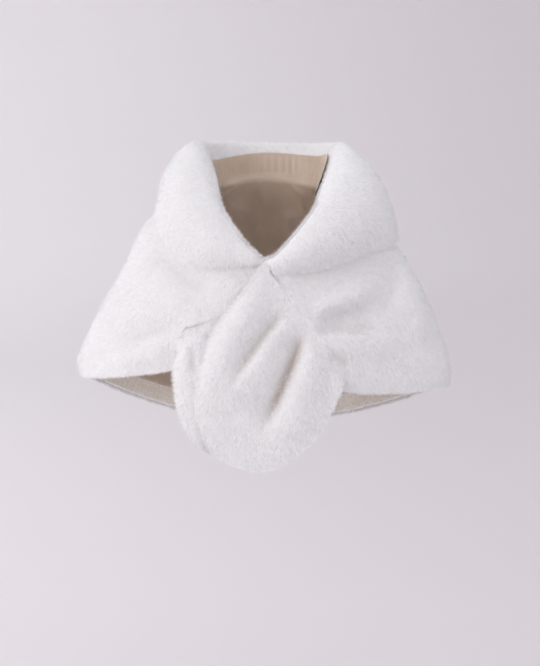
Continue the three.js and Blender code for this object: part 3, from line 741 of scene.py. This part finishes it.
def body_piece(name, a0, a1, nu, nv, fine_u, fine_v, count, seed, nodes, width=0.95):
    az = np.linspace(a0, a1, nu + 1)
    A, V = np.meshgrid(az, np.linspace(0, 1, nv + 1), indexing="ij")
    V = mix(neckline(A) + (0 if a1 == -a0 else 0.004), 0.992, V)
    p, n = body(A, V), body_normal(A, V)
    square = ease((np.abs(A) - 150) / 28)[..., None]
    n = unit(mix(n, FORWARD, square))
    o = shell(name, p - n * PILE, p - n * (FUR - 0.6), 1, [GROUND_MAT, SATIN_MAT],
              band=lambda u, w: (w > 1 - TURN_HEM / 530) | (np.abs(mix(a0, a1, u)) > 160), free=(0, 0, 0, 1))
    az = np.linspace(a0, a1, fine_u + 1)
    A, V = np.meshgrid(az, np.linspace(0, 1, fine_v + 1), indexing="ij")
    V = mix(neckline(A), 0.992, V)
    p = body(A, V)
    n = unit(mix(body_normal(A, V), FORWARD, ease((np.abs(A) - 150) / 28)[..., None]))
    t = down_nap(p, n, np.gradient(p, axis=1))
    # Under the collar the cloth hardly shows, and by the neckline the lining covers it.
    dens = np.where(V < neckline(A) + 0.035, 0.0, 1.0)
    front = a1 > 90.5 or a0 < -90.5
    # The pile's colour gets painted shade in the troughs and painted warm shade on the turned-in hem.
    g = fur_over(p - n * PILE, n, t, FUR - 0.6 - PILE, int(fine_v * TURN_HEM / 530), dens, reach=4, inside_shade=0.8,
                 shaded=trough_painted_shade("front" if front else "back", p[..., 0], p[..., 2]) * ease(V / 0.1))
    f = pile(name + "_pile", [g], strands(count), PILE_MAT, seed, width=width)
    declare(o, [f], nodes)
    return o, f


body_piece("back_cloth", -SIDE, SIDE, 96, 60, 300, 130, 190000, 1, ["back"], 1.15)
body_piece("front_right_cloth", -180, -SIDE, 60, 60, 200, 130, 125000, 2, ["front_right"])
body_piece("front_left_cloth", SIDE, 180, 60, 60, 200, 130, 135000, 3, ["front_left"])


def collar_piece():
    def grid(nu, nw):
        us, ws = np.linspace(0, 1, nu + 1), np.linspace(0.02, 0.992, nw + 1)
        p = collar_grid(us, ws)
        n = grid_normal(p, 1)
        ends = ease(np.minimum(us, 1 - us) / 0.1)[:, None] * (1 - 0.75 * ease((ws - 0.8) / 0.2))[None, :]
        thick = mix(COLLAR_TIP + 2.0, FUR_COLLAR, ends)[..., None]
        az = mix(COLLAR_FROM, COLLAR_TO, us)
        run = unit(body(az, 0.03) - body(az, 0.0))
        lean = (1 - ease(ws / 0.16))[None, :, None]
        return us, ws, p, unit(mix(n, -run[:, None], lean)), n, thick
    us, ws, p, n, _, thick = grid(150, 44)
    lift = np.minimum(PILE, thick * 0.5)
    o = shell("collar_cloth", p - n * lift, p - n * (thick - 0.4), 1, [GROUND_MAT, SATIN_MAT],
              band=lambda u, w: (w > 0.8) | (np.abs(mix(COLLAR_FROM, COLLAR_TO, u)) > 95), free=(1, 1, 0, 1))
    us, ws, p, n, true_n, thick = grid(520, 150)
    lift = np.minimum(PILE, thick * 0.5)
    # The nap runs up the stand, over the roll and down the fall.
    W = ws[None, :] * np.ones((len(us), 1))
    t = down_nap(p, true_n, np.gradient(p, axis=1), 0.45 * ease((W - 0.4) / 0.3)[..., None])
    depth = thick - 0.4 - lift
    reached = np.abs(mix(COLLAR_FROM, COLLAR_TO, us))[:, None]
    lined = (W < lining_top(reached) - 0.01) & (reached < 87)
    dens = np.where(lined, 0.0, np.where(W < 0.06, 0.3, np.where(np.abs(W - 0.36) < 0.14, 1.35, 0.95)))
    lean = LEAN + 0.27 * (1 - ease((W - 0.12) / 0.16))      # pressed flatter on the side of the neck
    # Over the tight roll the pile is lit as one soft mass.
    share = 0.45 + 0.5 * np.exp(-(((W - 0.27) / 0.15) ** 2))
    g = fur_over(p - n * lift, true_n, t, depth, 16, dens, lean, 0.6, reach=8, inside_shade=0.2, share=share)
    ends = side_rims(p - n * lift, true_n, t, depth)
    f = pile("collar_pile", [g, *ends], strands(200000), PILE_MAT, 4)
    declare(o, [f], ["collar"])


collar_piece()


def tab_piece(name, face, rows, tacks, base_y, inward, sunk, thick, nu, nv, count, seed, nodes):
    def grid(a, b):
        ss, ts = np.linspace(0, 1, a + 1), np.linspace(0, 0.988, b + 1)
        p = tab_grid(rows, tacks, base_y, inward, sunk, ss, ts, face)
        n = grid_normal(p, -1)
        return p, unit(mix(n, FORWARD, (1 - ease(ts / 0.2))[None, :, None]))
    p, n = grid(nu, nv)
    o = shell(name, p - n * PILE, p - n * (thick - 0.8), -1, [GROUND_MAT, SATIN_MAT],
              band=lambda u, w: (w > 0.9) | (u < 0.06) | (u > 0.94), free=(1, 1, 0, 1))
    p, n = grid(3 * nu, 3 * nv)
    t = down_nap(p, n, np.gradient(p, axis=1), 0.35)
    q, depth = p - n * PILE, thick - 0.8 - PILE
    # Painted shade in the troughs of the tab, darkening the pile's colour.
    shaded = trough_painted_shade(face, p[..., 0], p[..., 2])
    g = [fur_over(q, n, t, depth, 14, band_dens=0.6, reach=6, inside_shade=0.25, shaded=shaded), *side_rims(q, n, t, depth)]
    if face == "under":
        g.append(first_rim(q, n, t, depth))
    f = pile(name.replace("cloth", "pile"), g, strands(count), PILE_MAT, seed)
    declare(o, [f], nodes)


tab_piece("tab_under_cloth", "under", TAB_UNDER, GATHER_LEFT, UNDER_Y, -1, 1, FUR_TAB - 1, 50, 40, 50000, 5, ["tab_under"])
tab_piece("tab_over_cloth", "over", TAB_OVER, GATHER_RIGHT, OVER_Y, 1, -3, FUR_TAB, 72, 46, 95000, 6, ["tab_over"])


def lining_piece():
    nu, rows_back, rows_stand = 120, 66, 14
    az = np.linspace(-SIDE - 18, SIDE + 18, nu + 1)
    us = (az - COLLAR_FROM) / (COLLAR_TO - COLLAR_FROM)
    top = lining_top(az)[:, None]
    pc = collar_grid(us, np.linspace(0.0, 0.5, 61))
    nc = grid_normal(pc, 1)
    w2 = mix(top, 0.03, np.linspace(0, 1, rows_stand)) / 0.5
    u2 = w2 * 0 + np.linspace(0, 1, nu + 1)[:, None]
    ps, ns = resample(pc, u2, w2), unit(resample(nc, u2, w2))
    # It puckers a little where it is sewn to the stand.
    pucker = 1.1 * np.sin(np.radians(az) * 46 + 3 * noise(ps[:, 4], 60, 6))[:, None] * np.sin(np.pi * (1 - w2 * 0.5 / top))
    stand_face = ps + ns * (1.2 + SATIN + np.clip(pucker, -0.6, 1.1))[..., None]
    v = np.linspace(0.012, 1 - TURN_HEM / 530, rows_back)
    A, V = np.meshgrid(az, v, indexing="ij")
    A = A * mix(1, (SIDE - 0.3) / (SIDE + 18), ease((V - 0.18) / 0.2))
    A0 = A[:, :3] * 0 + az[:, None]
    p0, n0 = body(A0, A0 * 0), body_normal(A0, A0 * 0)
    inward = -unit(body(A0, A0 * 0 + 0.02) - p0)
    corner = p0 + inward * 3.0 - n0 * np.array([1.0, 7.0, 13.0])[None, :, None]
    pb, nb = body(A, V), body_normal(A, V)
    face = pb - nb * (FUR + 0.6 + SATIN)
    # Wrinkles of the lining, deepest where it is slack under the neck.
    slant = pb @ np.array([[1.0, 0, 0], [0, 1.0, 0], [0.3, 0, 0.35]])
    slack = (1 - np.abs(noise(slant, 40, 3))) ** 6 * 13.0 * (0.7 + 0.3 * noise(pb, 110, 4))
    slack = slack + 1.6 * noise(pb, 24, 5)
    face = face - nb * np.clip(slack, -0.4, 13)[..., None] * (ease(V / 0.06) * ease((0.9 - V) / 0.08))[..., None]
    p = np.concatenate([stand_face, corner, face], 1)
    n = grid_normal(p, -1)
    o = shell("back_lining", p, p - n * (SATIN - 0.1), -1, [SATIN_MAT, SATIN_MAT], rim=2, free=(1, 1, 1, 1))
    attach(o, "root")
    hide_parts("lining")


lining_piece()

# ---------------------------------------------------------------- stage, light and camera
CAMERA_AT, TARGET = Vector((0.0084, -3.1956, -0.1433)), Vector((0.0084, 0.0, -0.3108))


def stage():
    """A pale floor that sweeps up into a wall all round, with painted shade: darker towards +X and down towards the
    floor.
    """
    m, t, s = material("stage", Roughness=0.9)
    s.inputs["Specular IOR Level"].default_value = 0.1
    where = t.nodes.new("ShaderNodeTexCoord")
    apart = t.nodes.new("ShaderNodeSeparateXYZ")
    t.links.new(where.outputs["Object"], apart.inputs["Vector"])
    painted_side_shade = t.nodes.new("ShaderNodeMapRange")
    for k, v in (("From Min", -2.6), ("From Max", 2.6)):
        painted_side_shade.inputs[k].default_value = v
    t.links.new(apart.outputs["X"], painted_side_shade.inputs["Value"])
    ramp = t.nodes.new("ShaderNodeValToRGB")
    ramp.color_ramp.interpolation = "EASE"
    ramp.color_ramp.elements[0].position, ramp.color_ramp.elements[0].color = 0.0, (0.93, 0.90, 0.915, 1)
    ramp.color_ramp.elements[1].position, ramp.color_ramp.elements[1].color = 1.0, (0.69, 0.66, 0.67, 1)
    # Painted shade: the floor and the low wall are darker.
    floor = t.nodes.new("ShaderNodeMapRange")
    for k, v in (("From Min", -1.3), ("From Max", -0.2), ("To Min", 0.40), ("To Max", 0.0)):
        floor.inputs[k].default_value = v
    t.links.new(apart.outputs["Z"], floor.inputs["Value"])
    both = t.nodes.new("ShaderNodeMath")
    t.links.new(painted_side_shade.outputs["Result"], both.inputs[0])
    t.links.new(floor.outputs["Result"], both.inputs[1])
    t.links.new(both.outputs["Value"], ramp.inputs["Fac"])
    t.links.new(ramp.outputs["Color"], s.inputs["Base Color"])
    profile = [(0.0, -1.30), (1.2, -1.30), (2.4, -1.30)]
    profile += [(2.4 + 3.4 * math.sin(a), -1.30 + 3.0 * (1 - math.cos(a))) for a in np.linspace(0.12, math.pi / 2, 14)]
    profile += [(5.8, 2.6), (5.8, 4.0)]
    seg = 96
    pts, faces = [], []
    for r, z in profile[1:]:
        for k in range(seg):
            th = 2 * math.pi * k / seg
            pts.append((1000 * r * math.cos(th), 1000 * r * math.sin(th), 1000 * z))
    centre = len(pts)
    pts.append((0, 0, -1300))
    for j in range(len(profile) - 2):
        for k in range(seg):
            a, b = j * seg + k, j * seg + (k + 1) % seg
            faces.append((a, a + seg, b + seg, b))
    tri = [(centre, k, (k + 1) % seg) for k in range(seg)]
    o = new_object("stage", pts, [faces, tri], [m])


stage()

world = bpy.data.worlds.new("world")
bpy.context.scene.world = world
world.use_nodes = True
world.node_tree.nodes["Background"].inputs["Color"].default_value = (0.90, 0.90, 0.95, 1)
world.node_tree.nodes["Background"].inputs["Strength"].default_value = 1.04


def lamp(name, at, aim, size, watts, colour=(1, 1, 1)):
    data = bpy.data.lights.new(name, "AREA")
    data.shape, data.size, data.energy, data.color = "DISK", size, watts, colour
    o = bpy.data.objects.new(name, data)
    o.location = at
    o.rotation_mode = "QUATERNION"
    o.rotation_quaternion = (Vector(aim) - Vector(at)).to_track_quat("-Z", "Y")
    o.visible_camera = False
    bpy.context.scene.collection.objects.link(o)


lamp("key", (-2.9, -2.1, 0.7), (0, 0, -0.3), 2.2, 45, (1.0, 0.985, 0.97))
lamp("fill", (2.9, -2.1, 0.45), (0, 0, -0.35), 1.8, 12, (0.95, 0.97, 1.0))
lamp("rear", (-0.8, 3.0, 1.6), (0, 0, -0.2), 2.4, 26, (1.0, 0.99, 0.98))

data = bpy.data.cameras.new("camera")
data.lens, data.sensor_width, data.sensor_fit = 82.37, 36.0, "AUTO"
data.clip_start, data.clip_end = 0.05, 60
camera = bpy.data.objects.new("camera", data)
camera.location = CAMERA_AT
camera.rotation_mode = "QUATERNION"
camera.rotation_quaternion = (TARGET - CAMERA_AT).to_track_quat("-Z", "Y")
bpy.context.scene.collection.objects.link(camera)
bpy.context.scene.camera = camera

bpy.context.scene.view_settings.view_transform = "Standard"
bpy.context.scene.view_settings.look = "None"
